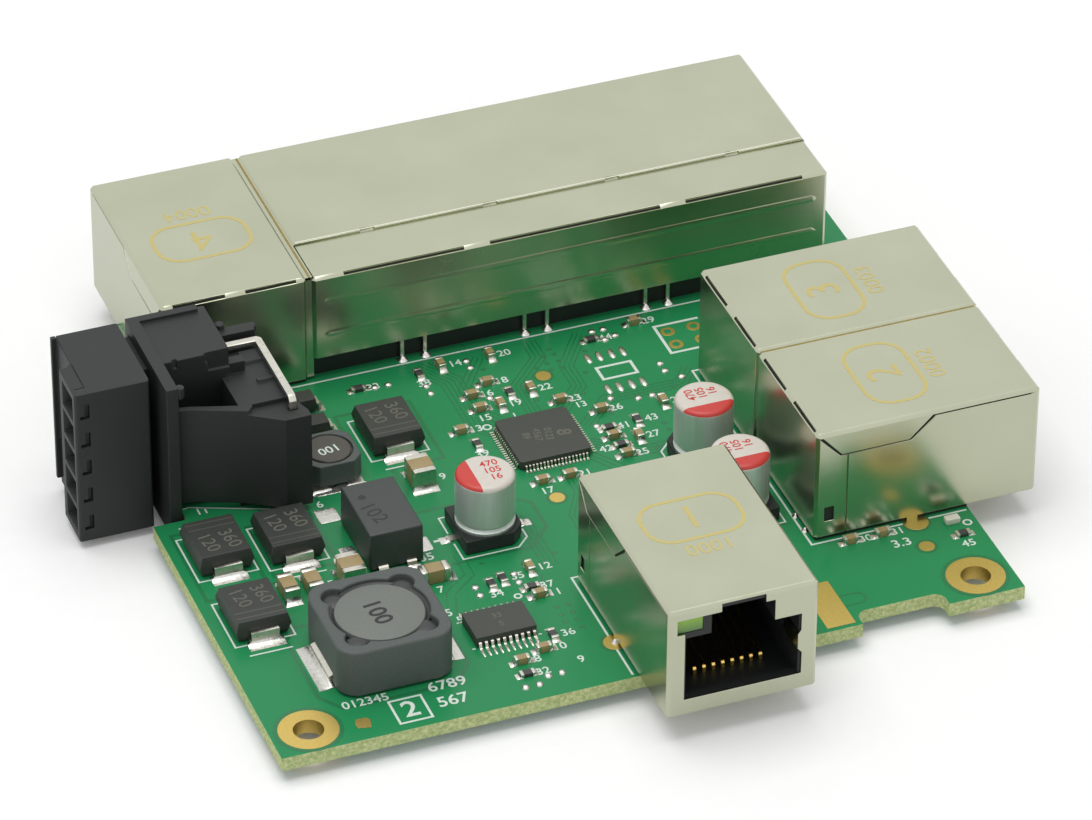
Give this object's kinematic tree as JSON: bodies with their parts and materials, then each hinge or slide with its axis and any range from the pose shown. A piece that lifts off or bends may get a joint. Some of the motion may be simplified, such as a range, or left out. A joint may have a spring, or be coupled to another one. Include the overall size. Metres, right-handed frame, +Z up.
{
  "type": "din rail ethernet switch",
  "caption": "Populated circuit board of an industrial Ethernet switch: shielded modular jacks round three edges and a plug-in supply terminal on the fourth.",
  "frame": {"origin": "under the middle of the part, at the level of the jack pegs it rests on", "axes": "+X to the right along the front edge of the board, +Y towards the row of jacks at the back, +Z up from the component side"},
  "size_m": [0.0952, 0.0924, 0.0195],
  "materials": {
    "solder_mask": "glossy green solder mask over glass-epoxy laminate",
    "nickel_shield": "bright nickel-plated sheet",
    "black_moulding": "satin black glass-filled nylon",
    "gold_contact": "gold-plated spring wire",
    "light_guide": "green tinted clear lens",
    "tinned_metal": "tinned copper alloy and solder",
    "capacitor_can": "satin drawn aluminium",
    "capacitor_base": "satin black base",
    "ferrite": "matt dark grey ferrite",
    "diode_epoxy": "matt brown-black epoxy",
    "chip_epoxy": "matt black epoxy",
    "tan_ceramic": "matt tan ceramic",
    "resistor_glaze": "black glaze on alumina",
    "clear_lamp": "clear resin chip lamp"
  },
  "bodies": {
    "root": {"back_jack_contacts": "gold_contact", "back_jack_housing": "black_moulding", "back_jack_light_guide": "light_guide", "back_jack_shield": "nickel_shield", "capacitor_base_back": "capacitor_base", "capacitor_base_front": "capacitor_base", "capacitor_base_left": "capacitor_base", "capacitor_can_back": "capacitor_can", "capacitor_can_front": "capacitor_can", "capacitor_can_left": "capacitor_can", "capacitor_leads": "tinned_metal", "ceramic_capacitor_bodies": "tan_ceramic", "ceramic_capacitor_ends": "tinned_metal", "chip_resistor_bodies": "resistor_glaze", "chip_resistor_ends": "tinned_metal", "choke_body": "ferrite", "choke_leads": "tinned_metal", "circuit_board": "solder_mask", "diode_body_front_left": "diode_epoxy", "diode_body_middle_left": "diode_epoxy", "diode_body_middle_right": "diode_epoxy", "diode_body_rear": "diode_epoxy", "diode_leads": "tinned_metal", "front_jack_contacts": "gold_contact", "front_jack_housing": "black_moulding", "front_jack_light_guide": "light_guide", "front_jack_shield": "nickel_shield", "gang_jack_contacts": "gold_contact", "gang_jack_housing": "black_moulding", "gang_jack_lamp_pins": "tinned_metal", "gang_jack_light_guide": "light_guide", "gang_jack_rear_cover": "nickel_shield", "gang_jack_shield": "nickel_shield", "indicator_lamp": "clear_lamp", "jack_solder_tails": "tinned_metal", "power_inductor_core": "ferrite", "power_inductor_drum": "ferrite", "power_inductor_terminals": "tinned_metal", "rectifier_bodies": "diode_epoxy", "rectifier_leads": "tinned_metal", "regulator_chip_body": "chip_epoxy", "regulator_chip_leads": "tinned_metal", "right_front_jack_contacts": "gold_contact", "right_front_jack_housing": "black_moulding", "right_front_jack_light_guide": "light_guide", "right_front_jack_shield": "nickel_shield", "right_rear_jack_contacts": "gold_contact", "right_rear_jack_housing": "black_moulding", "right_rear_jack_light_guide": "light_guide", "right_rear_jack_shield": "nickel_shield", "small_inductor_core": "ferrite", "small_inductor_disc": "ferrite", "small_inductor_terminals": "tinned_metal", "switch_chip_body": "chip_epoxy", "switch_chip_leads": "tinned_metal", "terminal_header": "black_moulding", "terminal_header_pins": "tinned_metal", "terminal_plug": "black_moulding", "terminal_plug_clamps": "tinned_metal"}
  },
  "joints": []
}
